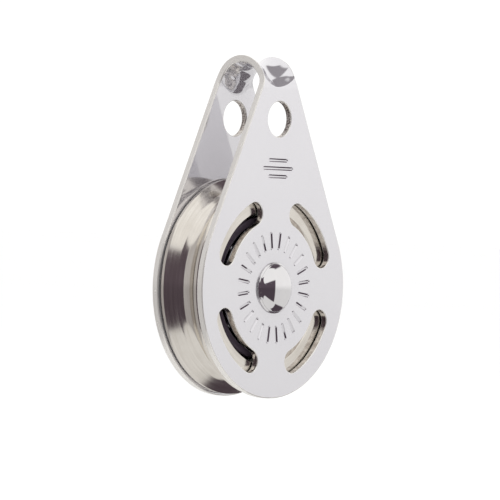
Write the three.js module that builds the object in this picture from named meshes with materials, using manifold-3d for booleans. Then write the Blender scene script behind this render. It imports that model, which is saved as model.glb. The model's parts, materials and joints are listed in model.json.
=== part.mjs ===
// Small stainless rigging block: one grooved sheave on a double-row ball bearing, held between the
// two cheeks of a single folded strap. The fold at the top is dished into a smooth saddle, the eye
// that a shackle, a pin or a lashing bears on. Millimetres, +Z up towards the head, +Y along the
// axle towards the back cheek, +X across. The origin is the bearing point under the saddle.

import * as THREE from 'three';
import { mergeVertices } from 'three/addons/utils/BufferGeometryUtils.js';
import Module from 'manifold-3d';

const wasm = await Module();
wasm.setup();

// ---- driving dimensions -------------------------------------------------------------------------

const sheetThickness = 1.6;
const insideGap = 12.1; // between the cheeks' inner faces
const cheekRadius = 26; // round lower lobe, about the axle
const axleDrop = 51.5; // from the bearing point in the head down to the axle
const bendHeight = 47; // centre of the fold's radius, above the axle
const neckHalfWidth = 5.75; // the strap over the crown
const neckCorner = 48.9; // where the cheek's straight sides would reach the neck's width
const neckFillet = 6;
const dishDepth = 1.5; // how far the crown's middle is pressed in
const dishTail = 1.9; // how far the bulge runs down inside each cheek
const dishRise = 2.2; // how far past the start of the fold it reaches its full depth
const footSink = 0.08; // the strip's feet below the cheek's surfaces
const crownGrid = { across: 8, tail: 2, arc: 18 };

const pinHole = { radius: 4.2, height: 39.7 };
const slot = { middleRadius: 18.9, halfWidth: 2.7, halfAngle: 21 };

const shankRadius = 3;
const rivetHead = { radius: 6, rim: 0.45, rimTop: 0.3, domeRadius: 5.7, dome: 1.75 };

const sheave = { flangeRadius: 25.5, halfWidth: 5.75, edge: 0.4 };
const groove = { halfWidth: 4.6, floorRadius: 3.5, wallLean: 48 }; // V walls on a round floor
const bearing = { pitchRadius: 16, ballRadius: 1.75, rowOffset: 2.9, balls: 14 };
const race = { radius: 1.85, outerShoulder: 17.1, innerShoulder: 14.9 };
const mouth = { radius: 18.3, depth: 1.15 }; // countersink where the bore opens in the sheave's sides
const cage = { innerRadius: 15.2, outerRadius: 16.8, outerFace: 4.1, innerFace: 0.45 };
const pocket = { radius: 2.05, length: 6, sides: 10 };
const hub = { bossRadius: 6, chamfer: 0.6, faceGap: 0.65 };
const sideWasher = { innerRadius: 6.2, outerRadius: 14.4, thickness: 0.5 };
const facets = { sheave: 56, cage: 42, innerRace: 32, rivet: 28, washer: 24 }; // round each axis

const seatGap = 0.03; // pieces that are clamped face to face
const boreGap = 0.05; // round a shaft
const insideFace = insideGap / 2;
const outsideFace = insideFace + sheetThickness;
const middleSurface = insideFace + sheetThickness / 2;

// ---- finishes -----------------------------------------------------------------------------------

function finish(color, roughness, metalness) {
  return () => new THREE.MeshStandardMaterial({ color, roughness, metalness });
}

const polishedStainless = finish(0xd6d5d8, 0.08, 1);
const turnedStainless = finish(0xc9c4bd, 0.22, 1);
const bearingSteel = finish(0xb9babd, 0.1, 1);
const blackAcetal = finish(0x17161a, 0.45, 0);

// ---- geometry helpers ---------------------------------------------------------------------------

function welded(geometry) {
  geometry.deleteAttribute('normal');
  geometry.deleteAttribute('uv');
  return mergeVertices(geometry, 1e-4);
}

function toSolid(geometry) {
  const closed = welded(geometry);
  const vertProperties = new Float32Array(closed.attributes.position.array);
  const triVerts = new Uint32Array(closed.index.array);
  return new wasm.Manifold(new wasm.Mesh({ numProp: 3, vertProperties, triVerts }));
}

function toGeometry(solid) {
  const { vertProperties, triVerts } = solid.getMesh();
  const geometry = new THREE.BufferGeometry();
  geometry.setAttribute('position', new THREE.BufferAttribute(vertProperties, 3));
  geometry.setIndex(new THREE.BufferAttribute(triVerts, 1));
  return geometry;
}

function named(name, geometry, material) {
  const mesh = new THREE.Mesh(geometry, material());
  mesh.name = name;
  return mesh;
}

// A solid turned about the axle. Points are [radius, along the axle], outside first, front to back.
function turned(points, segments) {
  const profile = points.map(([radius, along]) => new THREE.Vector2(radius, along));
  return welded(new THREE.LatheGeometry(profile, segments));
}

function closedRing(points, segments) {
  return turned([...points, points[0]], segments);
}

// Points of an arc in the turning plane; angles in radians from the outward radial direction.
function arcPoints(centreRadius, centreAlong, radius, start, end, steps) {
  return Array.from({ length: steps + 1 }, (unused, i) => {
    const angle = start + ((end - start) * i) / steps;
    return [centreRadius + radius * Math.cos(angle), centreAlong + radius * Math.sin(angle)];
  });
}

// ---- strap --------------------------------------------------------------------------------------

// Angle from the upright at which a cheek's straight side leaves the round lobe.
const cornerReach = Math.hypot(neckHalfWidth, neckCorner);
const sideAngle = Math.atan2(neckHalfWidth, neckCorner) + Math.acos(cheekRadius / cornerReach);

function sideLineHalfWidth(height) {
  return (cheekRadius - height * Math.cos(sideAngle)) / Math.sin(sideAngle);
}

// Half width of the unfolded strap at a height measured along the sheet: the cheek's straight side,
// a fillet, then the parallel neck.
function strapHalfWidth(height) {
  const lean = Math.PI / 2 - sideAngle;
  const filletEnd = neckCorner + neckFillet * Math.tan(lean / 2);
  const filletStart = filletEnd - neckFillet * Math.sin(lean);
  if (height >= filletEnd) {
    return neckHalfWidth;
  }
  if (height <= filletStart) {
    return sideLineHalfWidth(height);
  }
  const rise = filletEnd - height;
  return neckHalfWidth + neckFillet - Math.sqrt(neckFillet ** 2 - rise ** 2);
}

// Points of an arc in the cheek's plane; angles in radians, anticlockwise from +X.
function flatArc(x, height, radius, start, end, steps) {
  return Array.from({ length: steps + 1 }, (unused, i) => {
    const angle = start + ((end - start) * i) / steps;
    return new THREE.Vector2(x + radius * Math.cos(angle), height + radius * Math.sin(angle));
  });
}

function circleOutline(height, radius) {
  return new THREE.Path(flatArc(0, height, radius, 0, 2 * Math.PI, 24).slice(1));
}

// An arc-shaped slot about the axle with full-round ends.
function slotOutline(centreAngle) {
  const { middleRadius, halfWidth, halfAngle } = slot;
  const sweep = THREE.MathUtils.degToRad(halfAngle);
  const start = centreAngle - sweep;
  const end = centreAngle + sweep;
  const roundEnd = (angle, from) => flatArc(
    middleRadius * Math.cos(angle),
    middleRadius * Math.sin(angle),
    halfWidth,
    from,
    from + Math.PI,
    6,
  );
  return new THREE.Path([
    ...flatArc(0, 0, middleRadius + halfWidth, start, end, 7).slice(1),
    ...roundEnd(end, end).slice(1),
    ...flatArc(0, 0, middleRadius - halfWidth, end, start, 6).slice(1),
    ...roundEnd(start, start + Math.PI).slice(1),
  ]);
}

// Flat cheek in the X-Z plane, up to the start of the fold, lying from y = front to front + sheet.
function cheekPlate(front) {
  const topHalfWidth = sideLineHalfWidth(bendHeight);
  const lobeStart = Math.PI / 2 + sideAngle;
  const lobeEnd = Math.PI / 2 - sideAngle + 2 * Math.PI;
  const outline = new THREE.Shape([
    new THREE.Vector2(topHalfWidth, bendHeight),
    new THREE.Vector2(-topHalfWidth, bendHeight),
    ...flatArc(0, 0, cheekRadius, lobeStart, lobeEnd, 40),
  ]);
  outline.holes.push(circleOutline(0, shankRadius + boreGap));
  outline.holes.push(circleOutline(pinHole.height, pinHole.radius));
  for (const quarter of [1, 3, 5, 7]) {
    outline.holes.push(slotOutline((quarter * Math.PI) / 4));
  }
  const plate = new THREE.ExtrudeGeometry(outline, { depth: sheetThickness, bevelEnabled: false });
  plate.rotateX(Math.PI / 2);
  plate.translate(0, front + sheetThickness, 0);
  return plate;
}

// How far the saddle's surface is pressed in at a place on the strap: deepest along the middle of
// the crown, nothing at its two edges, and running out smoothly at its lower ends. across is -1 to 1
// and pastBend is the distance along the sheet from the start of the fold.
function dishAt(across, pastBend, tail) {
  const side = 1 - across ** 2;
  return dishDepth * side * THREE.MathUtils.smootherstep(pastBend, -tail, dishRise);
}

// The fold: a strip of sheet bent over half a turn. Its two feet are the bulge's tails, sunk into
// the cheeks' inner faces.
function crownStrip() {
  const arcLength = Math.PI * middleSurface;
  const { across: columns, tail: tailRows, arc: arcRows } = crownGrid;
  const rows = arcRows + 2 * tailRows;
  const strip = new THREE.BoxGeometry(2, rows, sheetThickness, columns, rows, 1);
  const place = strip.attributes.position;
  const point = new THREE.Vector3();
  for (let i = 0; i < place.count; i += 1) {
    point.fromBufferAttribute(place, i);
    const tailRow = Math.max(0, Math.abs(point.y) - arcRows / 2);
    const along = THREE.MathUtils.clamp(point.y / arcRows, -0.5, 0.5);
    const pastBend = tailRow > 0 ? -dishTail * (tailRow / tailRows) : arcLength * (0.5 - Math.abs(along));
    const isInner = point.z < 0;
    const dish = dishAt(point.x, pastBend, isInner ? dishTail : 0);
    const sunk = tailRow > 0 ? footSink : 0;
    const radius = middleSurface + point.z - dish + (isInner ? sunk : -sunk);
    const turn = along * Math.PI;
    const x = point.x * (strapHalfWidth(bendHeight + Math.max(0, pastBend)) - sunk);
    const height = bendHeight + radius * Math.cos(turn) + Math.min(0, pastBend);
    place.setXYZ(i, x, radius * Math.sin(turn), height);
  }
  return strip;
}

function strap() {
  const frontCheek = toSolid(cheekPlate(-outsideFace));
  const backCheek = toSolid(cheekPlate(insideFace));
  return toGeometry(toSolid(crownStrip()).add(frontCheek).add(backCheek));
}

// ---- axle and bearing ---------------------------------------------------------------------------

// One rivet: the shank, a low domed head on the front and the clenched head, alike, on the back.
function axleRivet() {
  const { radius, rim, rimTop, domeRadius, dome } = rivetHead;
  const face = outsideFace + seatGap;
  const steps = 4;
  const head = Array.from({ length: steps + 1 }, (unused, i) => {
    const angle = (i / steps) * (Math.PI / 2);
    return [domeRadius * Math.cos(angle), face + rim + dome * Math.sin(angle)];
  });
  const back = [[shankRadius, face], [radius, face], [radius, face + rimTop], ...head];
  back[back.length - 1][0] = 0;
  const front = back.map(([r, along]) => [r, -along]).reverse();
  return turned([...front, ...back], facets.rivet);
}

// Rolling track of one ball row: an arc round the ball's centre, between shoulders of equal radius.
function track(shoulder, rowAlong, direction, facing) {
  const lean = Math.acos(Math.abs(shoulder - bearing.pitchRadius) / race.radius);
  const middle = facing > 0 ? 0 : Math.PI;
  const sense = direction * facing;
  return arcPoints(
    bearing.pitchRadius,
    rowAlong,
    race.radius,
    middle - sense * lean,
    middle + sense * lean,
    4,
  );
}

// Rope groove from lip to lip: straight leaning walls that run smoothly into a round floor.
function grooveProfile() {
  const { halfWidth, floorRadius, wallLean } = groove;
  const lean = THREE.MathUtils.degToRad(wallLean);
  const wallDrop = (halfWidth - floorRadius * Math.sin(lean)) * Math.tan(lean);
  const floorCentre = sheave.flangeRadius - wallDrop + floorRadius * Math.cos(lean);
  const floor = arcPoints(floorCentre, 0, floorRadius, Math.PI + lean, Math.PI - lean, 7);
  return [[sheave.flangeRadius, -halfWidth], ...floor, [sheave.flangeRadius, halfWidth]];
}

function sheaveBody() {
  const { flangeRadius, halfWidth, edge } = sheave;
  const row = bearing.rowOffset;
  return closedRing(
    [
      [flangeRadius - edge, -halfWidth],
      [flangeRadius, edge - halfWidth],
      ...grooveProfile(),
      [flangeRadius, halfWidth - edge],
      [flangeRadius - edge, halfWidth],
      [mouth.radius, halfWidth],
      [race.outerShoulder, halfWidth - mouth.depth],
      ...track(race.outerShoulder, row, -1, 1),
      ...track(race.outerShoulder, -row, -1, 1),
      [race.outerShoulder, mouth.depth - halfWidth],
      [mouth.radius, -halfWidth],
    ],
    facets.sheave,
  );
}

// Half of the fixed hub: a boss that the cheek clamps, and one inner track. side is -1 front, 1 back.
function innerRace(side) {
  const { bossRadius, chamfer, faceGap } = hub;
  const bore = shankRadius + boreGap;
  const face = insideFace - seatGap;
  const shoulderEnd = face - faceGap;
  const half = [
    [bore, seatGap / 2],
    [race.innerShoulder, seatGap / 2],
    ...track(race.innerShoulder, bearing.rowOffset, 1, -1),
    [race.innerShoulder, shoulderEnd - chamfer],
    [race.innerShoulder - chamfer, shoulderEnd],
    [bossRadius, shoulderEnd],
    [bossRadius, face],
    [bore, face],
  ];
  const placed = side > 0 ? half : half.map(([radius, along]) => [radius, -along]).reverse();
  return closedRing(placed, facets.innerRace);
}

function sideWasherRing(side) {
  const { innerRadius, outerRadius, thickness } = sideWasher;
  const outer = insideFace - seatGap * 2;
  const ring = [
    [outerRadius, outer - thickness],
    [outerRadius, outer],
    [innerRadius, outer],
    [innerRadius, outer - thickness],
  ];
  const placed = side > 0 ? ring : ring.map(([radius, along]) => [radius, -along]).reverse();
  return closedRing(placed, facets.washer);
}

// Crown cage of one row, its pockets open towards the cheek. Angles in radians about the axle.
function ballCage(side, firstAngle) {
  const { innerRadius, outerRadius, outerFace, innerFace } = cage;
  const ring = [
    [outerRadius, innerFace],
    [outerRadius, outerFace],
    [innerRadius, outerFace],
    [innerRadius, innerFace],
  ];
  const placed = side > 0 ? ring : ring.map(([radius, along]) => [radius, -along]).reverse();
  let body = toSolid(closedRing(placed, facets.cage));
  for (let i = 0; i < bearing.balls; i += 1) {
    const drill = new THREE.CylinderGeometry(pocket.radius, pocket.radius, pocket.length, pocket.sides);
    drill.translate(0, bearing.pitchRadius, 0);
    drill.rotateX(Math.PI / 2);
    drill.rotateY(firstAngle + (i * 2 * Math.PI) / bearing.balls);
    drill.translate(0, side * bearing.rowOffset, 0);
    body = body.subtract(toSolid(drill));
  }
  return toGeometry(body);
}

// One row: the cage and its balls, which travel round the axle together.
function ballSet(label, side, firstAngle) {
  const set = new THREE.Group();
  set.add(named(`ball_cage_${label}`, ballCage(side, firstAngle), blackAcetal));
  for (let i = 0; i < bearing.balls; i += 1) {
    const angle = firstAngle + (i * 2 * Math.PI) / bearing.balls;
    const number = String(i + 1).padStart(2, '0');
    const sphere = welded(new THREE.IcosahedronGeometry(bearing.ballRadius, 1));
    const ball = named(`ball_${label}_${number}`, sphere, bearingSteel);
    ball.position.set(
      bearing.pitchRadius * Math.sin(angle),
      side * bearing.rowOffset,
      bearing.pitchRadius * Math.cos(angle),
    );
    set.add(ball);
  }
  return set;
}

// ---- assembly -----------------------------------------------------------------------------------

const block = new THREE.Group();
const aboutAxle = new THREE.Group();
aboutAxle.position.z = -axleDrop;
block.add(aboutAxle);

aboutAxle.add(named('cheek_strap', strap(), polishedStainless));
aboutAxle.add(named('axle_rivet', axleRivet(), polishedStainless));
aboutAxle.add(named('sheave', sheaveBody(), turnedStainless));

for (const [label, side, firstAngle] of [['front', -1, 0], ['back', 1, Math.PI / bearing.balls]]) {
  aboutAxle.add(named(`inner_race_${label}`, innerRace(side), bearingSteel));
  aboutAxle.add(named(`side_washer_${label}`, sideWasherRing(side), blackAcetal));
  aboutAxle.add(ballSet(label, side, firstAngle));
}

export default block;
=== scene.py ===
"""Looks for the small stainless sheave block: refined meshes, procedural finishes, a white tent."""

import json
import math

import bpy
import numpy as np
from mathutils import Matrix, Vector
from mathutils.geometry import delaunay_2d_cdt


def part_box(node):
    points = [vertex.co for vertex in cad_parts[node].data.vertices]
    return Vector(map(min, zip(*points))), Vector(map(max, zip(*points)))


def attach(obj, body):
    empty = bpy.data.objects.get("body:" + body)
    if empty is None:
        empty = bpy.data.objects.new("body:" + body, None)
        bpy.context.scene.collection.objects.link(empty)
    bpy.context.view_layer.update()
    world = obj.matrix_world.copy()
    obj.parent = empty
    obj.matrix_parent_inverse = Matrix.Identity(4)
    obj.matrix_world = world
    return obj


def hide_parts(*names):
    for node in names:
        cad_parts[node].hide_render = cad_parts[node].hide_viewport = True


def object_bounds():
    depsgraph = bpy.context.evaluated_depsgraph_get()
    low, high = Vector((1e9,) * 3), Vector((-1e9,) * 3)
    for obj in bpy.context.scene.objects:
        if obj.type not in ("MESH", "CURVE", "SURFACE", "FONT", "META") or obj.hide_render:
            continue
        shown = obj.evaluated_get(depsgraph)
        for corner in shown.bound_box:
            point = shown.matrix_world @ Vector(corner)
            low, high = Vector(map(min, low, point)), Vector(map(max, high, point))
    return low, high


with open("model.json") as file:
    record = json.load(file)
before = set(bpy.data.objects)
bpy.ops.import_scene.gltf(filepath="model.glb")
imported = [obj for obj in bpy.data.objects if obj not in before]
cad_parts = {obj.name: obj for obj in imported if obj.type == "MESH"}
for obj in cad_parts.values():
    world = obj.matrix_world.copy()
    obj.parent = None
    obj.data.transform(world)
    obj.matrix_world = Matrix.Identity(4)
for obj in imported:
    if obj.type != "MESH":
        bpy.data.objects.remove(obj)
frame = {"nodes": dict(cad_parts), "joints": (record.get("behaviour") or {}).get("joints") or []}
cad_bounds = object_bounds()

# ---- sizes, in millimetres about the axle unless they say otherwise ------------------------------

MM = 0.001
JOINTS = {joint["name"]: joint for joint in frame["joints"]}
AXLE = Vector(JOINTS["sheave_spin"]["pos_m"])
DROP = -AXLE.z / MM  # from the bearing point in the head to the axle


def node_box(node):
    """Lowest and highest corners of a CAD node, in millimetres from the axle."""
    low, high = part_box(node)
    return (low - AXLE) / MM, (high - AXLE) / MM


STRAP_LOW, STRAP_HIGH = node_box("cheek_strap")
SHEAVE_HIGH = node_box("sheave")[1]
RIVET_HIGH = node_box("axle_rivet")[1]
RACE_LOW, RACE_HIGH = node_box("inner_race_back")
WASHER_LOW, WASHER_HIGH = node_box("side_washer_back")
CAGE_LOW, CAGE_HIGH = node_box("ball_cage_back")

SHEET = 1.6
OUTSIDE = STRAP_HIGH.y
MIDDLE = OUTSIDE - SHEET / 2
CHEEK_RADIUS = -STRAP_LOW.z
BEND = STRAP_HIGH.z - OUTSIDE
NECK, NECK_CORNER, NECK_FILLET = 5.75, 48.9, 6.0
DISH = STRAP_HIGH.z - SHEET - DROP
CROWN = BEND + MIDDLE * math.pi / 2  # the crown's middle, measured along the sheet
PIN_RADIUS, PIN_HEIGHT = 4.2, 39.7
SLOT_RADIUS, SLOT_HALF_WIDTH, SLOT_HALF_ANGLE = 18.9, 2.7, math.radians(21)
SHANK_RADIUS, SHANK_GAP = 3.0, 0.05
OUTLINE_ROUNDING, HOLE_ROUNDING, BORE_ROUNDING = 0.26, 0.2, 0.1
PRESS_OFFSET = -1.5  # the saddle was pressed slightly to one side
OUTER_DISH_START, OUTER_DISH_LENGTH, OUTER_CREASE = 0.1, 2.4, 0.14  # along the sheet, past the bend
INNER_DISH_START, INNER_DISH_LENGTH, INNER_CREASE = -1.75, 4.0, 0.2

# ---- meshes --------------------------------------------------------------------------------------


def mesh_piece(name, body, points, faces, materials, face_slots=None, nodes=(), normals=None):
    """A smooth-shaded mesh from points in millimetres about the axle, riding on a body.

    normals is one direction for each corner of each face; without it they are evened by area.
    """
    mesh = bpy.data.meshes.new(name)
    places = np.asarray(points, float) * MM + np.array(AXLE)
    mesh.from_pydata(places.tolist(), [], [list(face) for face in faces])
    mesh.validate()
    for material in materials:
        mesh.materials.append(material)
    if face_slots is not None:
        mesh.polygons.foreach_set("material_index", face_slots)
    mesh.polygons.foreach_set("use_smooth", [True] * len(mesh.polygons))
    piece = bpy.data.objects.new(name, mesh)
    bpy.context.scene.collection.objects.link(piece)
    if normals is None:
        weighted = piece.modifiers.new("even_shading", "WEIGHTED_NORMAL")
        weighted.weight = 100
    else:
        mesh.normals_split_custom_set(np.asarray(normals).tolist())
    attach(piece, body)
    if nodes:
        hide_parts(*nodes)
    return piece


def rounded(corners, steps=5):
    """A closed outline with its corners rounded. Each corner is (first, second, radius)."""
    outline = []
    count = len(corners)
    for i, (a, b, radius) in enumerate(corners):
        here = np.array([a, b], float)
        if radius <= 0:
            outline.append(here)
            continue
        back = np.array(corners[i - 1][:2]) - here
        on = np.array(corners[(i + 1) % count][:2]) - here
        back_length, on_length = np.linalg.norm(back), np.linalg.norm(on)
        back, on = back / back_length, on / on_length
        half = math.acos(np.clip(back @ on, -1, 1)) / 2
        if half > 1.55:
            outline.append(here)
            continue
        reach = min(radius / math.tan(half), 0.49 * back_length, 0.49 * on_length)
        size = reach * math.tan(half)
        middle = here + (back + on) / np.linalg.norm(back + on) * size / math.sin(half)
        start, end = here + back * reach - middle, here + on * reach - middle
        sweep = math.acos(np.clip(start @ end / size**2, -1, 1))
        for k in range(steps + 1):
            t = k / steps
            blend = math.sin((1 - t) * sweep) * start + math.sin(t * sweep) * end
            outline.append(middle + blend / math.sin(sweep))
    return np.array(outline)


def arc(radius_at, along_at, radius, start, end, steps):
    """Points of an arc in the turning plane, angles from the outward radial direction."""
    angles = np.linspace(start, end, steps + 1)
    return [(radius_at + radius * math.cos(a), along_at + radius * math.sin(a)) for a in angles]


def turned(outline, segments, closed=True):
    """Points and faces of a profile of (radius, along) turned about the axle, outside running to +Y."""
    outline = np.asarray(outline, float)
    angles = np.arange(segments) * 2 * math.pi / segments
    ring = np.stack([np.sin(angles), np.cos(angles)], 1)
    points = [(r * s, y, r * c) for r, y in outline for s, c in ring]
    faces = []
    rows = len(outline) if closed else len(outline) - 1
    for i in range(rows):
        a, b = i * segments, ((i + 1) % len(outline)) * segments
        for k in range(segments):
            n = (k + 1) % segments
            faces.append((a + k, b + k, b + n, a + n))
    return points, faces


def turned_to_axis(outline, segments):
    """A turned solid whose profile starts and ends on the axis."""
    points, faces = turned(outline[1:-1], segments, closed=False)
    first, last = len(points), len(points) + 1
    points += [(0, outline[0][1], 0), (0, outline[-1][1], 0)]
    top = (len(outline) - 3) * segments
    for k in range(segments):
        n = (k + 1) % segments
        faces.append((first, k, n))
        faces.append((last, top + n, top + k))
    return points, faces


def mirrored(outline, side):
    """The profile as it is for the back, or flipped along the axle for the front."""
    if side > 0:
        return outline
    return [(r, -y, *rest) for r, y, *rest in outline][::-1]


# ---- the strap, made as the real one: a flat blank with rounded edges, then folded and dished ----


def side_line():
    """Angle from the upright at which a cheek's straight side leaves the round lobe."""
    reach = math.hypot(NECK, NECK_CORNER)
    return math.atan2(NECK, NECK_CORNER) + math.acos(CHEEK_RADIUS / reach)


SIDE = side_line()


def half_width(v):
    """Half width of the blank at a height above the axle, measured along the sheet."""
    lean = math.pi / 2 - SIDE
    fillet_end = NECK_CORNER + NECK_FILLET * math.tan(lean / 2)
    fillet_start = fillet_end - NECK_FILLET * math.sin(lean)
    v = np.minimum(v, 2 * CROWN - v)
    line = (CHEEK_RADIUS - v * math.cos(SIDE)) / math.sin(SIDE)
    rise = np.clip(fillet_end - v, 0, NECK_FILLET)
    fillet = NECK + NECK_FILLET - np.sqrt(NECK_FILLET**2 - rise**2)
    return np.where(v >= fillet_end, NECK, np.where(v <= fillet_start, line, fillet))


def flat_arc(u, v, radius, start, end, steps):
    angles = np.linspace(start, end, steps + 1)
    return np.stack([u + radius * np.cos(angles), v + radius * np.sin(angles)], 1)


def blank_outline():
    """The unfolded strap: two lobes joined by the neck, anticlockwise."""
    tangent = math.pi / 2 - SIDE
    lobe = flat_arc(0, 0, CHEEK_RADIUS, -math.pi / 2, tangent, 110)
    straight = np.linspace(lobe[-1][1], BEND - 4, 12)[1:]
    neck = np.linspace(BEND - 4, CROWN, 50)[1:]
    heights = np.concatenate([straight, neck])
    side = np.stack([half_width(heights), heights], 1)
    right = np.concatenate([lobe, side])
    right_back = (right * [1, -1] + [0, 2 * CROWN])[::-1][1:]
    left = np.concatenate([right, right_back])[::-1] * [-1, 1]
    return np.concatenate([right, right_back, left[1:-1]])


def slot_outline(angle):
    """An arc-shaped slot with full-round ends, clockwise, so that the sheet is on its left."""
    start, end = angle - SLOT_HALF_ANGLE, angle + SLOT_HALF_ANGLE
    tip = [SLOT_RADIUS * math.cos(end), SLOT_RADIUS * math.sin(end)]
    tail = [SLOT_RADIUS * math.cos(start), SLOT_RADIUS * math.sin(start)]
    runs = [
        flat_arc(0, 0, SLOT_RADIUS + SLOT_HALF_WIDTH, start, end, 22),
        flat_arc(*tip, SLOT_HALF_WIDTH, end, end + math.pi, 16),
        flat_arc(0, 0, SLOT_RADIUS - SLOT_HALF_WIDTH, end, start, 18),
        flat_arc(*tail, SLOT_HALF_WIDTH, start + math.pi, start + 2 * math.pi, 16),
    ]
    return np.concatenate([run[1:] for run in runs])[::-1]


def stroke_outline(centre, direction, length, width):
    """A short bar with round ends, clockwise."""
    along = np.array([math.cos(direction), math.sin(direction)])
    reach = length / 2 - width / 2
    head, foot = np.array(centre) + along * reach, np.array(centre) - along * reach
    runs = [
        flat_arc(*head, width / 2, direction - math.pi / 2, direction + math.pi / 2, 8),
        flat_arc(*foot, width / 2, direction + math.pi / 2, direction + 1.5 * math.pi, 8),
    ]
    return np.concatenate(runs)[::-1]


STAMP_DEPTH, STROKE_WIDTH = 0.26, 0.84
TICKS, TICK_RADIUS, TICK_LENGTH = 24, 11.1, 4.2
BARS = ((7.0, 30.0), (11.0, 28.1), (7.0, 26.2))  # length, then height above the axle


def stamp_outlines():
    """Plain generic stamping on the front cheek: a ring of ticks, and three short bars."""
    outlines = []
    for i in range(TICKS):
        angle = 2 * math.pi * (i + 0.5) / TICKS
        direction = np.array([math.cos(angle), math.sin(angle)])
        outlines.append(stroke_outline(direction * TICK_RADIUS, angle, TICK_LENGTH, STROKE_WIDTH))
    for length, height in BARS:
        outlines.append(stroke_outline((0, height), 0, length, STROKE_WIDTH))
    return outlines


def left_normals(loop):
    """Unit normals to the left of a closed loop, at its points."""
    step = np.roll(loop, -1, 0) - loop
    step /= np.linalg.norm(step, axis=1)[:, None]
    normal = np.stack([-step[:, 1], step[:, 0]], 1)
    both = normal + np.roll(normal, 1, 0)
    return both / (np.linalg.norm(both, axis=1)[:, None] ** 2 / 2)


POLISHED, EDGE, PUNCHED, SLOTTED, STAMPED = range(5)  # the strap's material slots
EDGE_STEPS = 6


class Blank:
    """Collects the flat blank's points (u, v, w) and faces. w is up towards the outer face.

    bends holds each point's direction, square to the surface there. A face keeps one direction for
    all its corners, or None for its points' own.
    """

    def __init__(self):
        self.points, self.bends = [], []
        self.faces, self.slots, self.facings = [], [], []

    def face(self, corners, slot, facing=None):
        self.faces.append(tuple(corners))
        self.slots.append(slot)
        self.facings.append(facing)

    def ring(self, loop, w, bends):
        start = len(self.points)
        self.points += [(u, v, w) for u, v in loop]
        self.bends += bends
        return start

    def rings(self, loop, profile, slots):
        """Joined rings down a wall. profile has (inset to the left, w, facing along each) steps."""
        lefts = left_normals(loop)
        starts = []
        for inset, w, along, up in profile:
            bends = [(left[0] * along, left[1] * along, up) for left in lefts]
            starts.append(self.ring(loop + lefts * inset, w, bends))
        count = len(loop)
        for i in range(len(starts) - 1):
            for k in range(count):
                n = (k + 1) % count
                corners = (starts[i] + k, starts[i + 1] + k, starts[i + 1] + n, starts[i] + n)
                self.face(corners, slots[min(i, len(slots) - 1)])
        return starts[0], starts[-1]

    def fill(self, outer, holes, w, facing, extra=()):
        """Triangulates the flat face between rings. outer and holes are (first point, count)."""
        loops = [outer, *holes]
        index = [start + i for start, count in loops for i in range(count)]
        flat = [Vector(self.points[i][:2]) for i in index]
        edges, base = [], 0
        for _, count in loops:
            edges += [(base + i, base + (i + 1) % count) for i in range(count)]
            base += count
        for u, v in extra:
            index.append(len(self.points))
            self.points.append((u, v, w))
            self.bends.append((0, 0, facing))
            flat.append(Vector((u, v)))
        places, _, triangles, origin, _, _ = delaunay_2d_cdt(flat, edges, [], 1, 1e-7)
        hole_loops = [np.array([self.points[s + i][:2] for i in range(c)]) for s, c in holes]
        for triangle in triangles:
            middle = sum((places[i] for i in triangle), Vector((0, 0))) / 3
            if any(inside(middle, loop) for loop in hole_loops):
                continue
            corners = [index[origin[i][0]] for i in triangle]
            self.face(corners if facing > 0 else corners[::-1], POLISHED, (0, 0, facing))

    def corner_normals(self):
        """The folded direction at each corner of each face, in the faces' order."""
        corners = [i for face in self.faces for i in face]
        facings = [
            self.bends[i] if facing is None else facing
            for face, facing in zip(self.faces, self.facings)
            for i in face
        ]
        places = np.array(self.points, float)[corners]
        step = 1e-4
        u, v, w = [(fold(places + axis) - fold(places - axis)) for axis in np.eye(3) * step]
        along = np.array(facings, float)
        folded = np.cross(v, w) * along[:, :1]
        folded += np.cross(w, u) * along[:, 1:2]
        folded += np.cross(u, v) * along[:, 2:]
        return folded / np.linalg.norm(folded, axis=1)[:, None]


def inside(point, loop):
    """Whether a point is inside a closed loop."""
    x, y = point
    low, high = loop.min(0), loop.max(0)
    if not (low[0] < x < high[0] and low[1] < y < high[1]):
        return False
    a, b = loop, np.roll(loop, -1, 0)
    crosses = (a[:, 1] > y) != (b[:, 1] > y)
    with np.errstate(divide="ignore", invalid="ignore"):
        at = (b[:, 0] - a[:, 0]) * (y - a[:, 1]) / (b[:, 1] - a[:, 1]) + a[:, 0]
    return bool(np.count_nonzero(crosses & (x < at)) % 2)


def wall_profile(edge):
    """Rounded edge, straight wall, rounded edge, from the outer face down to the inner one."""
    top = []
    for a in np.linspace(0, math.pi / 2, EDGE_STEPS + 1):
        across, up = math.sin(a), math.cos(a)
        top.append((edge * (1 - across), SHEET / 2 - edge * (1 - up), -across, up))
    return top + [(inset, -w, across, -up) for inset, w, across, up in reversed(top)]


def ramp(t, crease):
    """0 up to 0, then turns up within the crease's share of the way and levels off at 1."""
    t = np.clip(t, 0, 1)
    turning = (t**2 - 2 * t**3 / 3) / crease
    after = 2 * t - t**2 - crease + crease**2 / 3
    return np.where(t < crease, turning, after) / (1 - crease + crease**2 / 3)


def crease_start(u):
    """How far past the start of the fold the outer dish begins: a U across the strap."""
    off = u - PRESS_OFFSET
    return OUTER_DISH_START + np.where(off < 0, 0.11, 0.045) * off**2


def dish(u, past_bend, outer_share):
    """How far the saddle is pressed in. The outer face has a short dish, the inner one a long bulge."""
    side = 1 - np.clip(u / NECK, -1, 1) ** 2
    outer = ramp((past_bend - crease_start(u)) / OUTER_DISH_LENGTH, OUTER_CREASE)
    inner_start = INNER_DISH_START + 0.09 * u**2
    inner = ramp((past_bend - inner_start) / INNER_DISH_LENGTH, INNER_CREASE)
    return DISH * side * (inner + (outer - inner) * outer_share)


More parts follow.
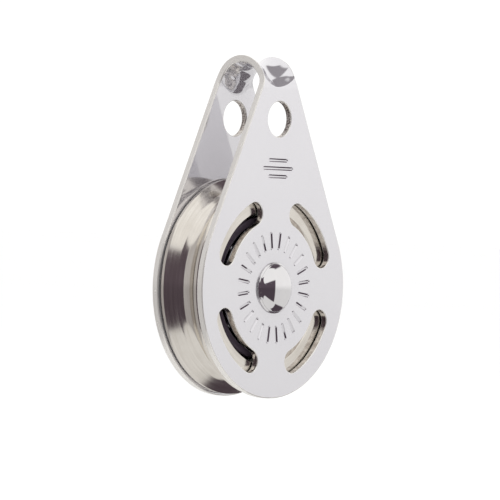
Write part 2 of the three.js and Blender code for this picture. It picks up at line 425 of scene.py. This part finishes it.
def fold(points):
    """The blank's points (u, v, w) folded over the head into millimetres about the axle."""
    u, v, w = np.asarray(points, float).T
    turn = np.clip((v - BEND) / MIDDLE, 0, math.pi)
    past_bend = np.minimum(v, 2 * CROWN - v) - BEND
    leg = np.minimum(past_bend, 0)
    outer_share = np.clip(w / SHEET + 0.5, 0, 1)
    radius = MIDDLE + w - dish(u, past_bend, outer_share)
    return np.stack([u, -radius * np.cos(turn), BEND + radius * np.sin(turn) + leg], 1)


def saddle_grid(spacing):
    """Extra points for the head, in rows that run along the dish's crease and close up beside it."""
    near = [-0.5, -0.2, -0.05, 0.05, 0.15, 0.25, 0.4, 0.6]
    rows = list(np.arange(-3.2, -0.6, spacing)) + near
    rows += list(np.arange(0.6 + spacing, CROWN - BEND, spacing))
    grid = []
    for n, row in enumerate(rows):
        shift = 0.5 * (n % 2)
        room = half_width(BEND + row) - OUTLINE_ROUNDING - spacing * 0.6
        columns = int(room / spacing)
        for i in range(-columns, columns + 1 - (n % 2)):
            u = spacing * (i + shift)
            follow = np.clip(1 - abs(row) / 6, 0, 1)
            v = BEND + row + crease_start(u) * follow
            grid += [(u, v), (u, 2 * CROWN - v)]
    return grid


def on_back(loop):
    """The same loop on the back cheek's half of the blank."""
    return (loop * [1, -1] + [0, 2 * CROWN])[::-1]


def cut_holes(blank):
    """Cuts the pin holes, axle holes and slots. Returns their rings on the outer and inner face."""
    pin = flat_arc(0, PIN_HEIGHT, PIN_RADIUS, 0, -2 * math.pi, 72)[1:]
    bore = flat_arc(0, 0, SHANK_RADIUS + SHANK_GAP, 0, -2 * math.pi, 48)[1:]
    holes = [(pin, HOLE_ROUNDING, PUNCHED), (bore, BORE_ROUNDING, SLOTTED)]
    for quarter in (1, 3, 5, 7):
        holes.append((slot_outline(quarter * math.pi / 4), HOLE_ROUNDING, SLOTTED))
    tops, lows = [], []
    for front, edge, wall in holes:
        for loop in (front, on_back(front)):
            slots = [EDGE] * EDGE_STEPS + [wall] + [EDGE] * EDGE_STEPS
            top, low = blank.rings(loop, wall_profile(edge), slots)
            tops.append((top, len(loop)))
            lows.append((low, len(loop)))
    return tops, lows


def press_stamps(blank):
    """Presses the stamping into the front cheek. Returns the stamps' rings on the outer face."""
    top = SHEET / 2
    profile = [
        (0.06, top, 0, 1),
        (0.02, top - 0.012, -0.3, 0.95),
        (-0.03, top - 0.05, -0.6, 0.8),
        (-0.3, top - STAMP_DEPTH, -0.6, 0.8),
    ]
    stamps = []
    for loop in stamp_outlines():
        first, floor_ring = blank.rings(loop, profile, [STAMPED])
        stamps.append((first, len(loop)))
        floor_face = [floor_ring + i for i in reversed(range(len(loop)))]
        blank.face(floor_face, STAMPED, (0, 0, 1))
    return stamps


def strap_piece(finishes):
    """The whole strap. finishes are its materials, in the order of the slot numbers."""
    blank = Blank()
    outline = blank_outline()
    outer_top, outer_low = blank.rings(outline, wall_profile(OUTLINE_ROUNDING), [EDGE])
    tops, lows = cut_holes(blank)
    stamps = press_stamps(blank)
    top = SHEET / 2
    blank.fill((outer_top, len(outline)), tops + stamps, top, 1, saddle_grid(0.3))
    blank.fill((outer_low, len(outline)), lows, -top, -1, saddle_grid(0.34))
    return mesh_piece(
        "strap_sheet",
        "block_frame",
        fold(blank.points),
        blank.faces,
        finishes,
        blank.slots,
        ["cheek_strap"],
        blank.corner_normals(),
    )


# ---- turned pieces -------------------------------------------------------------------------------

PITCH, BALL, TRACK = 16.0, 1.75, 1.85
ROW = (CAGE_LOW.y + CAGE_HIGH.y) / 2
BALLS = sum(name.startswith("ball_front_") for name in frame["nodes"])


def track(shoulder, along, sense, middle):
    """The rolling track's arc between two shoulders of equal radius."""
    lean = math.acos(abs(shoulder - PITCH) / TRACK)
    return arc(PITCH, along, TRACK, middle - sense * lean, middle + sense * lean, 14)


def sheave_piece(steel):
    """The wheel: V groove with a round floor, rounded flange lands, flat sides and two tracks."""
    radius, half = SHEAVE_HIGH.z, SHEAVE_HIGH.y
    lip, floor_radius, lean = 4.6, 3.5, math.radians(48)
    shoulder, mouth, mouth_depth = 17.1, 18.3, 1.15
    land_rounding, small_rounding = 0.55, 0.12
    wall_drop = (lip - floor_radius * math.sin(lean)) * math.tan(lean)
    centre = radius - wall_drop + floor_radius * math.cos(lean)
    floor_arc = arc(centre, 0, floor_radius, math.pi + lean, math.pi - lean, 36)
    corners = [
        (radius, -half, land_rounding),
        (radius, -lip, 0.14),
        *[(r, y, 0) for r, y in floor_arc],
        (radius, lip, 0.14),
        (radius, half, land_rounding),
        (mouth, half, small_rounding),
        (shoulder, half - mouth_depth, small_rounding),
        *[(r, y, 0) for r, y in track(shoulder, ROW, -1, 0)],
        *[(r, y, 0) for r, y in track(shoulder, -ROW, -1, 0)],
        (shoulder, mouth_depth - half, small_rounding),
        (mouth, -half, small_rounding),
    ]
    points, faces = turned(rounded(corners), 256)
    piece = mesh_piece("sheave_wheel", "sheave", points, faces, [steel])
    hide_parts("sheave")
    return piece


def rivet_piece(steel):
    """The axle rivet: shank and two shallow domed heads with a thin rim."""
    face, radius, reach = OUTSIDE + 0.03, RIVET_HIGH.x, RIVET_HIGH.y
    rim, dome_radius = 0.45, 5.7
    dome = reach - face - rim
    angles = np.linspace(0.04, math.pi / 2, 26)
    cap = [(dome_radius * math.cos(a), face + rim + dome * math.sin(a), 0) for a in angles]
    back = [
        (SHANK_RADIUS, face, 0),
        (radius, face, 0.08),
        (radius, face + rim * 0.75, 0.12),
        (dome_radius + 0.06, face + rim * 0.95, 0.1),
        *cap,
    ]
    outline = rounded(mirrored(back, -1) + back, 4)
    outline[0][0] = outline[-1][0] = 0.0
    points, faces = turned_to_axis(outline, 128)
    piece = mesh_piece("rivet", "block_frame", points, faces, [steel])
    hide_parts("axle_rivet")
    return piece


def inner_race_piece(label, side, steel):
    bore, shoulder, boss = SHANK_RADIUS + SHANK_GAP, 14.9, 6.0
    face, shelf = RACE_HIGH.y, RACE_HIGH.y - 0.65
    corners = [
        (bore, RACE_LOW.y, 0.1),
        (shoulder, RACE_LOW.y, 0.1),
        *[(r, y, 0) for r, y in track(shoulder, ROW, -1, math.pi)],
        (shoulder, shelf - 0.6, 0.1),
        (shoulder - 0.6, shelf, 0.1),
        (boss, shelf, 0.1),
        (boss, face, 0.12),
        (bore, face, 0.12),
    ]
    points, faces = turned(rounded(mirrored(corners, side)), 144)
    name = f"inner_race_ring_{label}"
    node = f"inner_race_{label}"
    return mesh_piece(name, "block_frame", points, faces, [steel], None, [node])


def side_washer_piece(label, side, plastic_black_and_painted_shade):
    inner, outer = 6.2, WASHER_HIGH.x
    corners = [
        (outer, WASHER_LOW.y, 0.15),
        (outer, WASHER_HIGH.y, 0.15),
        (inner, WASHER_HIGH.y, 0.1),
        (inner, WASHER_LOW.y, 0.1),
    ]
    points, faces = turned(rounded(mirrored(corners, side)), 144)
    name = f"side_washer_ring_{label}"
    node = f"side_washer_{label}"
    return mesh_piece(name, "block_frame", points, faces, [plastic_black_and_painted_shade], None, [node])


def ball_piece(label, number, middle, steel):
    """A bearing ball from a cube's faces, divided and pushed out to the sphere."""
    steps = 12
    grid = np.tan(np.linspace(-math.pi / 4, math.pi / 4, steps + 1))
    index, points, faces = {}, [], []

    def point(place):
        key = tuple(np.round(place, 6))
        if key not in index:
            index[key] = len(points)
            points.append(np.array(place) / np.linalg.norm(place) * BALL + middle)
        return index[key]

    for axis in range(3):
        for sign in (-1, 1):
            for i in range(steps):
                for k in range(steps):
                    corners = []
                    for a, b in ((i, k), (i + 1, k), (i + 1, k + 1), (i, k + 1)):
                        place = [0.0, 0.0, 0.0]
                        place[axis] = float(sign)
                        place[(axis + 1) % 3] = grid[a]
                        place[(axis + 2) % 3] = grid[b]
                        corners.append(point(place))
                    faces.append(corners if sign > 0 else corners[::-1])
    name = f"bearing_ball_{label}_{number}"
    node = f"ball_{label}_{number}"
    return mesh_piece(name, f"ball_row_{label}", points, faces, [steel], None, [node])


def pocket_cutter(side, first_angle):
    """Round bars pointing out from the axle, one through each ball's place."""
    pocket_radius, length, sides = 2.05, 6.0, 40
    points, faces = [], []
    for i in range(BALLS):
        angle = first_angle + i * 2 * math.pi / BALLS
        out = np.array([math.sin(angle), 0, math.cos(angle)])
        across = np.array([math.cos(angle), 0, -math.sin(angle)])
        base = len(points)
        for reach in (PITCH - length / 2, PITCH + length / 2):
            for k in range(sides):
                t = 2 * math.pi * k / sides
                swing = across * math.cos(t) + np.array([0, 1, 0]) * math.sin(t)
                place = out * reach + swing * pocket_radius + np.array([0, side * ROW, 0])
                points.append(place * MM + np.array(AXLE))
        faces.append([base + k for k in range(sides)])
        faces.append([base + sides + k for k in reversed(range(sides))])
        for k in range(sides):
            n = (k + 1) % sides
            faces.append([base + n, base + k, base + sides + k, base + sides + n])
    mesh = bpy.data.meshes.new("pockets")
    mesh.from_pydata([tuple(p) for p in points], [], faces)
    cutter = bpy.data.objects.new("pockets", mesh)
    bpy.context.scene.collection.objects.link(cutter)
    return cutter


def cage_piece(label, side, first_angle, plastic_black_and_painted_shade):
    """A crown cage: a turned ring with a pocket bored through it for each ball."""
    inner, outer, near, far, edge = 15.2, 16.8, 0.45, 4.1, 0.12
    corners = [(outer, near, edge), (outer, far, edge), (inner, far, edge), (inner, near, edge)]
    points, faces = turned(rounded(mirrored(corners, side), 3), 210)
    name, body = f"crown_cage_{label}", f"ball_row_{label}"
    cage = mesh_piece(name, body, points, faces, [plastic_black_and_painted_shade])
    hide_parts(f"ball_cage_{label}")
    cutter = pocket_cutter(side, first_angle)
    boolean = cage.modifiers.new("pockets", "BOOLEAN")
    boolean.object = cutter
    boolean.operation = "DIFFERENCE"
    boolean.solver = "EXACT"
    bpy.context.view_layer.update()
    evaluated = cage.evaluated_get(bpy.context.evaluated_depsgraph_get())
    cut = bpy.data.meshes.new_from_object(evaluated)
    cage.modifiers.clear()
    cage.data = cut
    cut.polygons.foreach_set("use_smooth", [True] * len(cut.polygons))
    cut.set_sharp_from_angle(angle=math.radians(35))
    bpy.data.objects.remove(cutter)
    return cage


# ---- materials -----------------------------------------------------------------------------------


class Nodes:
    """Short calls for building a node tree."""

    def __init__(self, tree):
        self.tree = tree
        tree.nodes.clear()

    def add(self, kind, inputs=None, **settings):
        node = self.tree.nodes.new(kind)
        for name, value in settings.items():
            setattr(node, name, value)
        for socket, value in (inputs or {}).items():
            self.feed(node.inputs[socket], value)
        return node

    def feed(self, socket, value):
        if isinstance(value, bpy.types.NodeSocket):
            self.tree.links.new(value, socket)
        else:
            socket.default_value = value

    def math(self, operation, a, b=0.0, c=0.0):
        return self.add("ShaderNodeMath", {0: a, 1: b, 2: c}, operation=operation).outputs[0]

    def vector(self, operation, a, b):
        return self.add("ShaderNodeVectorMath", {0: a, 1: b}, operation=operation).outputs[0]

    def scaled(self, vector, scale):
        return self.vector("MULTIPLY", vector, scale)

    def noise(self, vector, scale, detail=2.0, roughness=0.5, dimensions="3D", w=0.0):
        inputs = {"Scale": scale, "Detail": detail, "Roughness": roughness}
        if vector is not None:
            inputs["Vector"] = vector
        node = self.add("ShaderNodeTexNoise", noise_dimensions=dimensions)
        for name, value in inputs.items():
            self.feed(node.inputs[name], value)
        if dimensions == "4D":
            self.feed(node.inputs["W"], w)
        return node.outputs["Fac"]

    def range(self, value, low, high, to_low=0.0, to_high=1.0):
        """The value carried smoothly from one range to another, and held at its ends."""
        node = self.add(
            "ShaderNodeMapRange",
            {"Value": value, "From Min": low, "From Max": high, "To Min": to_low, "To Max": to_high},
            interpolation_type="SMOOTHSTEP",
        )
        return node.outputs[0]

    def mix(self, share, a, b):
        node = self.add("ShaderNodeMix", data_type="RGBA")
        self.feed(node.inputs[0], share)
        self.feed(node.inputs[6], a)
        self.feed(node.inputs[7], b)
        return node.outputs[2]


def material(name):
    made = bpy.data.materials.new(name)
    made.use_nodes = True
    nodes = Nodes(made.node_tree)
    output = nodes.add("ShaderNodeOutputMaterial")
    shader = nodes.add("ShaderNodeBsdfPrincipled")
    nodes.tree.links.new(shader.outputs[0], output.inputs[0])
    place = nodes.add("ShaderNodeTexCoord").outputs["Object"]
    return made, nodes, shader, place


def scratches(nodes, place, turn, seed, density=0.62):
    """Fine hairlines along one direction: very stretched noise, kept only at its peaks."""
    spun = nodes.add(
        "ShaderNodeMapping",
        {"Vector": place, "Rotation": (0, turn, 0), "Location": (seed, seed * 0.7, seed * 1.3)},
    ).outputs[0]
    streaks = nodes.noise(nodes.scaled(spun, (5200, 5200, 90)), 1.0, 1.0)
    return nodes.range(streaks, density, density + 0.1)


def polished_sheet(name, metallic):
    """Mirror-polished sheet: faint waviness, hairlines and a slight haze that varies."""
    made, nodes, shader, place = material(name)
    haze = nodes.noise(place, 160, 4, 0.6)
    hairs = nodes.math(
        "MAXIMUM", scratches(nodes, place, 0.5, 3.1), scratches(nodes, place, -0.9, 7.7, 0.66)
    )
    hazed = nodes.range(haze, 0.3, 0.75, 0.05, 0.075)
    rough = nodes.math("ADD", hazed, nodes.math("MULTIPLY", hairs, 0.07))
    tone = nodes.mix(nodes.noise(place, 60, 3), (0.738, 0.726, 0.752, 1), (0.768, 0.758, 0.778, 1))
    wave = nodes.noise(place, 210, 2)
    waves = nodes.math("MULTIPLY", wave, 0.35)
    height = nodes.math("SUBTRACT", waves, nodes.math("MULTIPLY", hairs, 0.05))
    bump = nodes.add("ShaderNodeBump", {"Height": height, "Strength": 0.25, "Distance": 0.000003})
    shader.inputs["Metallic"].default_value = metallic
    nodes.feed(shader.inputs["Base Color"], tone)
    nodes.feed(shader.inputs["Roughness"], rough)
    nodes.feed(shader.inputs["Normal"], bump.outputs[0])
    return made


def polished_edge():
    """The tumbled edges: warmer and softer than the faces, with a fine ripple."""
    made, nodes, shader, place = material("polished_edge")
    ripple = nodes.noise(nodes.scaled(place, (180, 900, 180)), 1.0, 3, 0.6)
    tone = nodes.mix(nodes.noise(place, 90, 3), (0.80, 0.775, 0.735, 1), (0.88, 0.86, 0.825, 1))
    bump = nodes.add("ShaderNodeBump", {"Height": ripple, "Strength": 0.2, "Distance": 0.00001})
    shader.inputs["Metallic"].default_value = 0.7
    nodes.feed(shader.inputs["Base Color"], tone)
    nodes.feed(shader.inputs["Roughness"], nodes.range(ripple, 0.3, 0.7, 0.20, 0.28))
    nodes.feed(shader.inputs["Normal"], bump.outputs[0])
    return made


def punched_wall():
    """Walls of the punched holes: a torn, speckled grey-brown band."""
    made, nodes, shader, place = material("punched_wall")
    grain = nodes.noise(nodes.scaled(place, (3600, 900, 3600)), 1.0, 4, 0.7)
    speckle = nodes.noise(place, 2600, 3, 0.7)
    both = nodes.math("MULTIPLY_ADD", speckle, 0.6, nodes.math("MULTIPLY", grain, 0.4))
    tone = nodes.mix(nodes.range(both, 0.40, 0.60), (0.16, 0.13, 0.12, 1), (0.85, 0.80, 0.74, 1))
    bump = nodes.add("ShaderNodeBump", {"Height": both, "Strength": 0.8, "Distance": 0.00012})
    shader.inputs["Metallic"].default_value = 1
    nodes.feed(shader.inputs["Base Color"], tone)
    nodes.feed(shader.inputs["Roughness"], nodes.range(both, 0.3, 0.7, 0.5, 0.28))
    nodes.feed(shader.inputs["Normal"], bump.outputs[0])
    return made


def slot_wall():
    """Walls of the slots: fine-blanked and polished, with shallow drag lines across the sheet."""
    made, nodes, shader, place = material("slot_wall")
    drag = nodes.noise(nodes.scaled(place, (2600, 260, 2600)), 1.0, 3, 0.6)
    mottle = nodes.noise(place, 900, 3, 0.6)
    tone = nodes.mix(nodes.range(mottle, 0.35, 0.65), (0.48, 0.44, 0.42, 1), (0.76, 0.73, 0.70, 1))
    bump = nodes.add("ShaderNodeBump", {"Height": drag, "Strength": 0.4, "Distance": 0.00003})
    shader.inputs["Metallic"].default_value = 1
    nodes.feed(shader.inputs["Base Color"], tone)
    nodes.feed(shader.inputs["Roughness"], nodes.range(drag, 0.3, 0.7, 0.08, 0.2))
    nodes.feed(shader.inputs["Normal"], bump.outputs[0])
    return made


def about_axle(nodes, place):
    """(radius, along, cosine, sine) of the shading point about the axle, in metres and as ratios."""
    local = nodes.vector("SUBTRACT", place, tuple(AXLE))
    split = nodes.add("ShaderNodeSeparateXYZ", {0: local})
    x, y, z = split.outputs
    squares = nodes.math("MULTIPLY_ADD", x, x, nodes.math("MULTIPLY", z, z))
    radius = nodes.math("SQRT", squares)
    return radius, y, nodes.math("DIVIDE", x, radius), nodes.math("DIVIDE", z, radius)


def turning_lines(nodes, place, fineness, drift):
    """Tool lines that run round the axle and change only slowly on the way."""
    radius, along, cosine, sine = about_axle(nodes, place)
    sweep = nodes.add(
        "ShaderNodeCombineXYZ",
        {
            0: nodes.math("MULTIPLY", along, fineness),
            1: nodes.math("MULTIPLY", cosine, drift),
            2: nodes.math("MULTIPLY", sine, drift),
        },
    ).outputs[0]
    return nodes.noise(sweep, 1.0, 3, 0.65, "4D", nodes.math("MULTIPLY", radius, fineness))


def turned_steel(name, dark, light, rough, fineness, depth):
    """Lathe-turned steel: fine circular lines that stretch every reflection across them."""
    made, nodes, shader, place = material(name)
    coarse = turning_lines(nodes, place, fineness, 1.2)
    fine = turning_lines(nodes, place, fineness * 4.3, 2.5)
    lines = nodes.math("MULTIPLY_ADD", coarse, 0.6, nodes.math("MULTIPLY", fine, 0.4))
    handling = nodes.noise(place, 120, 4, 0.6)
    worn = nodes.math("MULTIPLY_ADD", handling, 0.35, nodes.math("MULTIPLY", lines, 0.65))
    tone = nodes.mix(nodes.range(worn, 0.35, 0.65), dark, light)
    tangent = nodes.add("ShaderNodeTangent", direction_type="RADIAL", axis="Y")
    bump = nodes.add("ShaderNodeBump", {"Height": lines, "Strength": 0.5, "Distance": depth})
    shader.inputs["Metallic"].default_value = 1
    shader.inputs["Anisotropic"].default_value = 0.7
    nodes.feed(shader.inputs["Base Color"], tone)
    nodes.feed(shader.inputs["Roughness"], nodes.range(lines, 0.3, 0.7, rough * 0.8, rough * 1.25))
    nodes.feed(shader.inputs["Tangent"], tangent.outputs[0])
    nodes.feed(shader.inputs["Normal"], bump.outputs[0])
    return made


def mirror_steel(name, tone_low, tone_high):
    """Polished rivet or ball: a mirror with faint haze and tiny knocks."""
    made, nodes, shader, place = material(name)
    haze = nodes.noise(place, 420, 4, 0.6)
    knocks = nodes.range(nodes.noise(place, 900, 1), 0.70, 0.78)
    tone = nodes.mix(haze, tone_low, tone_high)
    height = nodes.math("SUBTRACT", nodes.math("MULTIPLY", haze, 0.2), knocks)
    bump = nodes.add("ShaderNodeBump", {"Height": height, "Strength": 0.2, "Distance": 0.000015})
    rough = nodes.math("MULTIPLY_ADD", knocks, 0.08, nodes.range(haze, 0.3, 0.7, 0.02, 0.05))
    shader.inputs["Metallic"].default_value = 1
    nodes.feed(shader.inputs["Base Color"], tone)
    nodes.feed(shader.inputs["Roughness"], rough)
    nodes.feed(shader.inputs["Normal"], bump.outputs[0])
    return made


def black_acetal():
    """Moulded black acetal: satin, faintly mottled, with flow marks. The black is partly the plastic's
    own colour and partly painted shade and a painted dark purple reflection for the dim inside of the
    slots.
    """
    made, nodes, shader, place = material("black_acetal")
    mottle = nodes.noise(place, 700, 4, 0.6)
    flow = turning_lines(nodes, place, 1500, 3)
    # Painted light: the base colour is lifted and tinted purple as a painted reflection of the dark tent.
    # Its darkness stands in for the shade inside the slots, on top of the plastic's own black.
    tone = nodes.mix(mottle, (0.068, 0.050, 0.070, 1), (0.098, 0.076, 0.100, 1))
    height = nodes.math("MULTIPLY_ADD", flow, 0.5, nodes.math("MULTIPLY", mottle, 0.5))
    bump = nodes.add("ShaderNodeBump", {"Height": height, "Strength": 0.4, "Distance": 0.00003})
    nodes.feed(shader.inputs["Base Color"], tone)
    nodes.feed(shader.inputs["Roughness"], nodes.range(mottle, 0.3, 0.7, 0.26, 0.4))
    nodes.feed(shader.inputs["Normal"], bump.outputs[0])
    return made


# ---- studio --------------------------------------------------------------------------------------

VIEW_AZIMUTH, VIEW_ELEVATION, VIEW_ROLL = math.radians(-50), math.radians(0.25), math.radians(2.03)
VIEW_DISTANCE, VIEW_LENS = 1.375, 419.5
VIEW_AIM = (0.00026, 0.0087)  # from the axle to the picture's middle, right and up


def camera():
    data = bpy.data.cameras.new("camera")
    data.lens = VIEW_LENS
    data.sensor_width = 36
    data.clip_start, data.clip_end = 0.05, 100
    eye = bpy.data.objects.new("camera", data)
    bpy.context.scene.collection.objects.link(eye)
    bpy.context.scene.camera = eye
    level = math.cos(VIEW_ELEVATION)
    back = Vector(
        (math.sin(VIEW_AZIMUTH) * level, -math.cos(VIEW_AZIMUTH) * level, math.sin(VIEW_ELEVATION))
    )
    right = Vector((math.cos(VIEW_AZIMUTH), math.sin(VIEW_AZIMUTH), 0))
    up = back.cross(right)
    rolled_right = right * math.cos(VIEW_ROLL) + up * math.sin(VIEW_ROLL)
    rolled_up = up * math.cos(VIEW_ROLL) - right * math.sin(VIEW_ROLL)
    place = AXLE + back * VIEW_DISTANCE + rolled_right * VIEW_AIM[0] + rolled_up * VIEW_AIM[1]
    turn = Matrix((rolled_right, rolled_up, back)).transposed()
    eye.matrix_world = Matrix.Translation(place) @ turn.to_4x4()


FLOOR_GAP = 0.055


def floor():
    """A wide pale floor below the hanging block."""
    height = cad_bounds[0][2] - FLOOR_GAP
    half = 30.0
    mesh = bpy.data.meshes.new("floor")
    corners = [(-half, -half, height), (half, -half, height), (half, half, height), (-half, half, height)]
    mesh.from_pydata(corners, [], [(0, 1, 2, 3)])
    made, nodes, shader, place = material("pale_floor")
    tone = nodes.mix(nodes.noise(place, 3, 3), (0.93, 0.93, 0.93, 1), (0.95, 0.95, 0.945, 1))
    nodes.feed(shader.inputs["Base Color"], tone)
    shader.inputs["Roughness"].default_value = 0.9
    shader.inputs["Specular IOR Level"].default_value = 0.1
    mesh.materials.append(made)
    plane = bpy.data.objects.new("floor", mesh)
    plane.visible_glossy = False
    bpy.context.scene.collection.objects.link(plane)


def patch(nodes, turn, rise, turn_low, turn_high, rise_low, rise_high, soft):
    """1 inside a patch of sky between two headings and two heights, in degrees, 0 outside."""
    sides = (
        nodes.range(turn, turn_low - soft, turn_low + soft),
        nodes.range(turn, turn_high - soft, turn_high + soft, 1, 0),
        nodes.range(rise, rise_low - soft, rise_low + soft),
        nodes.range(rise, rise_high - soft, rise_high + soft, 1, 0),
    )
    share = sides[0]
    for side in sides[1:]:
        share = nodes.math("MULTIPLY", share, side)
    return share


# The tent's dark parts: headings from the front (-Y) towards +X and heights, in degrees, then how
# much of the white is missing and how soft the edge is. The slit's heights are counted up and down
# from its middle.
OPENING = (-93, -36, -41, 41, 1.0, 1.2)
FRONT_SLIT = (-39, 37.5, -99, 14.5, 1.0, 1.2)
UPPER_GAP = (43, 114, 31, 69, 1.0, 4.0)
LOWER_GAP = (43, 97, -58, -22, 1.0, 1.5)
FAR_SIDE = (-200, -93, -43, 43, 0.52, 1.2)
SLIT_MIDDLE = -5.5
TENT_DARK = (0.100, 0.076, 0.095)


def tent_shade(nodes, turn, rise):
    """How dark the tent is in a direction, from 0 to 1."""
    # The slit's edges are as far above its middle as below, and draw apart towards the opening.
    # The upper gap's left edge leans back towards the front as it rises.
    left = nodes.math("MINIMUM", turn, 0)
    parting = nodes.math("MULTIPLY", nodes.math("MULTIPLY", left, left), 0.018)
    from_middle = nodes.math("ABSOLUTE", nodes.math("SUBTRACT", rise, SLIT_MIDDLE))
    slit_rise = nodes.math("SUBTRACT", from_middle, parting)
    lean = nodes.math("MULTIPLY", nodes.math("MAXIMUM", nodes.math("SUBTRACT", rise, 36), 0), 0.7)
    leaning = nodes.math("ADD", turn, lean)
    places = (
        (OPENING, turn, rise),
        (FRONT_SLIT, turn, slit_rise),
        (UPPER_GAP, leaning, rise),
        (LOWER_GAP, turn, rise),
        (FAR_SIDE, turn, rise),
    )
    dark = 0.0
    for (*edges, missing, soft), across, up in places:
        share = nodes.math("MULTIPLY", patch(nodes, across, up, *edges, soft), missing)
        dark = nodes.math("MAXIMUM", dark, share)
    return dark


def tent():
    """A white tent with dark gaps between its cloths, seen in the reflections; plain white otherwise."""
    world = bpy.data.worlds.new("tent")
    bpy.context.scene.world = world
    world.use_nodes = True
    nodes = Nodes(world.node_tree)
    output = nodes.add("ShaderNodeOutputWorld")
    heading = nodes.add("ShaderNodeTexCoord").outputs["Generated"]
    x, y, z = nodes.add("ShaderNodeSeparateXYZ", {0: heading}).outputs
    degrees = 180 / math.pi
    turn = nodes.math("ARCTAN2", x, nodes.math("MULTIPLY", y, -1))
    turn = nodes.math("MULTIPLY", turn, degrees)
    rise = nodes.math("MULTIPLY", nodes.math("ARCSINE", z), degrees)
    level = nodes.range(rise, -3, 3, 0.80, 1.03)
    colour = nodes.mix(tent_shade(nodes, turn, rise), (1.0, 0.99, 0.985, 1), (*TENT_DARK, 1))
    tent_light = nodes.add("ShaderNodeBackground", {"Color": colour, "Strength": level})
    plain = nodes.add("ShaderNodeBackground", {"Color": (1, 1, 1, 1), "Strength": 1.08})
    glossy = nodes.add("ShaderNodeLightPath").outputs["Is Glossy Ray"]
    mixed = nodes.add("ShaderNodeMixShader", {0: glossy, 1: plain.outputs[0], 2: tent_light.outputs[0]})
    nodes.tree.links.new(mixed.outputs[0], output.inputs[0])


def soft_light(name, place, size, power):
    data = bpy.data.lights.new(name, "AREA")
    data.shape = "DISK"
    data.size = size
    data.energy = power
    lamp = bpy.data.objects.new(name, data)
    lamp.location = place
    lamp.rotation_euler = (AXLE - Vector(place)).to_track_quat("-Z", "Y").to_euler()
    lamp.visible_glossy = False
    bpy.context.scene.collection.objects.link(lamp)


def studio():
    camera()
    floor()
    tent()
    soft_light("softbox_above", (0.3, -0.4, 1.6), 1.2, 6)
    bpy.context.scene.view_settings.view_transform = "Standard"
    bpy.context.scene.view_settings.look = "None"


# ---- assembly ------------------------------------------------------------------------------------


def build():
    turned_bright = turned_steel(
        "turned_bright", (0.68, 0.64, 0.58, 1), (0.82, 0.785, 0.725, 1), 0.13, 1400, 0.000004
    )
    ground = turned_steel("ground_steel", (0.5, 0.5, 0.51, 1), (0.7, 0.7, 0.71, 1), 0.16, 2400, 0.00002)
    rivet_mirror = mirror_steel("rivet_mirror", (0.74, 0.73, 0.735, 1), (0.80, 0.79, 0.79, 1))
    ball_mirror = mirror_steel("ball_mirror", (0.72, 0.72, 0.73, 1), (0.8, 0.8, 0.81, 1))
    plastic_black_and_painted_shade = black_acetal()
    polished, stamped = polished_sheet("polished_sheet", 0.74), polished_sheet("stamped_sheet", 1.0)
    strap_piece([polished, polished_edge(), punched_wall(), slot_wall(), stamped])
    sheave_piece(turned_bright)
    rivet_piece(rivet_mirror)
    for label, side, first_angle in (("front", -1, 0.0), ("back", 1, math.pi / BALLS)):
        inner_race_piece(label, side, ground)
        side_washer_piece(label, side, plastic_black_and_painted_shade)
        cage_piece(label, side, first_angle, plastic_black_and_painted_shade)
        for i in range(BALLS):
            angle = first_angle + i * 2 * math.pi / BALLS
            middle = np.array([PITCH * math.sin(angle), side * ROW, PITCH * math.cos(angle)])
            ball_piece(label, f"{i + 1:02d}", middle, ball_mirror)


studio()
build()
